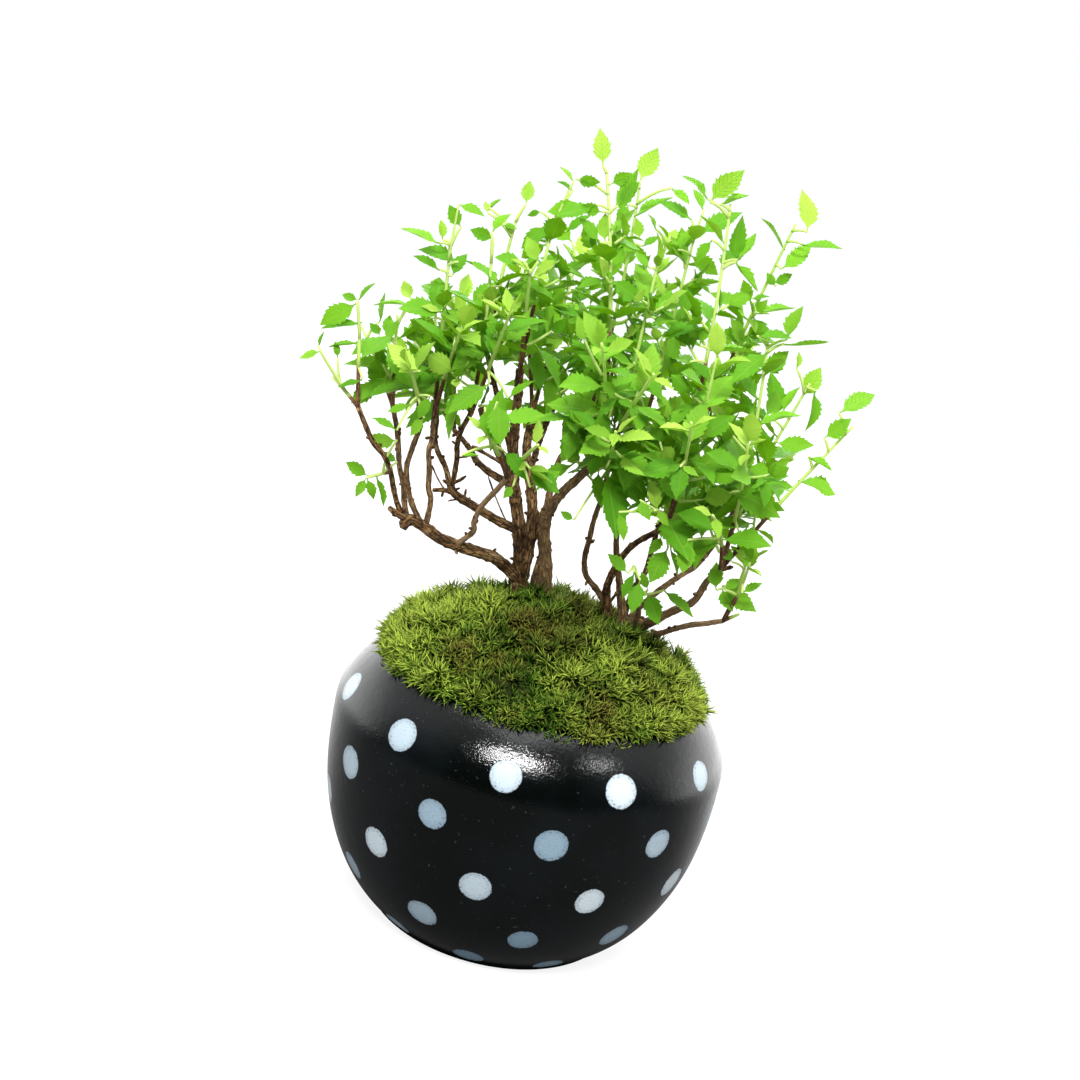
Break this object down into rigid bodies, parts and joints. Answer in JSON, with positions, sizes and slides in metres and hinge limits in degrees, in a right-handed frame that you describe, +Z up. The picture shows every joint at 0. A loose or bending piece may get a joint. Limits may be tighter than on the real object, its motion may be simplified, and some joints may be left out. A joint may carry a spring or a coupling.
{
  "type": "bonsai tree",
  "caption": "Small Japanese spirea bonsai in leaf, two woody clumps rising from a moss mound in a round dark dotted ceramic pot.",
  "frame": {"origin": "middle of the pot's flat base, on the surface it stands on", "axes": "+Z up along the pot's axis; +X to the right as seen from the front, towards the lower clump; -Y towards the viewer in the front view"},
  "size_m": [0.1226, 0.1001, 0.1797],
  "materials": {
    "pot_glaze": "satin",
    "dot_paint": "satin",
    "net_plastic": "matte",
    "soil_grit": "matte",
    "moss_green": "matte",
    "bark": "matte",
    "leaf_green": "satin"
  },
  "bodies": {
    "root": {"pot": "pot_glaze", "drain_net": "net_plastic", "soil": "soil_grit", "moss": "moss_green", "wood_main": "bark", "wood_side": "bark", "shoot_stem_left_a": "leaf_green", "shoot_stem_left_b": "leaf_green", "shoot_stem_middle_a": "leaf_green", "shoot_stem_middle_b": "leaf_green", "shoot_stem_right_a": "leaf_green", "shoot_stem_right_b": "leaf_green", "shoot_stem_right_c": "leaf_green", "shoot_fork_right_a": "leaf_green", "shoot_fork_right_b": "leaf_green", "shoot_low_1_a": "leaf_green", "shoot_low_1_b": "leaf_green", "shoot_low_2": "leaf_green", "shoot_low_3_a": "leaf_green", "shoot_low_3_b": "leaf_green", "shoot_low_4_a": "leaf_green", "shoot_low_4_b": "leaf_green", "shoot_low_4_c": "leaf_green", "shoot_grey_twig_a": "leaf_green", "shoot_grey_twig_b": "leaf_green", "shoot_mid_1": "leaf_green", "shoot_mid_2_a": "leaf_green", "shoot_mid_2_b": "leaf_green", "shoot_limb_back_left_a": "leaf_green", "shoot_limb_back_left_b": "leaf_green", "shoot_limb_back_a": "leaf_green", "shoot_limb_back_b": "leaf_green", "shoot_left_high": "leaf_green", "shoot_side_1_a": "leaf_green", "shoot_side_1_b": "leaf_green", "shoot_side_2_a": "leaf_green", "shoot_side_2_b": "leaf_green", "shoot_side_2_c": "leaf_green", "shoot_side_2_d": "leaf_green", "shoot_side_3_a": "leaf_green", "shoot_side_3_b": "leaf_green", "shoot_side_4_a": "leaf_green", "shoot_side_4_b": "leaf_green", "shoot_side_4_c": "leaf_green", "shoot_side_4_d": "leaf_green", "shoot_side_5_a": "leaf_green", "shoot_side_5_b": "leaf_green", "shoot_side_5_c": "leaf_green", "shoot_side_6_a": "leaf_green", "shoot_side_6_b": "leaf_green", "shoot_side_7_a": "leaf_green", "shoot_side_7_b": "leaf_green", "shoot_side_7_c": "leaf_green", "shoot_side_8_a": "leaf_green", "shoot_side_8_b": "leaf_green"}
  },
  "joints": []
}
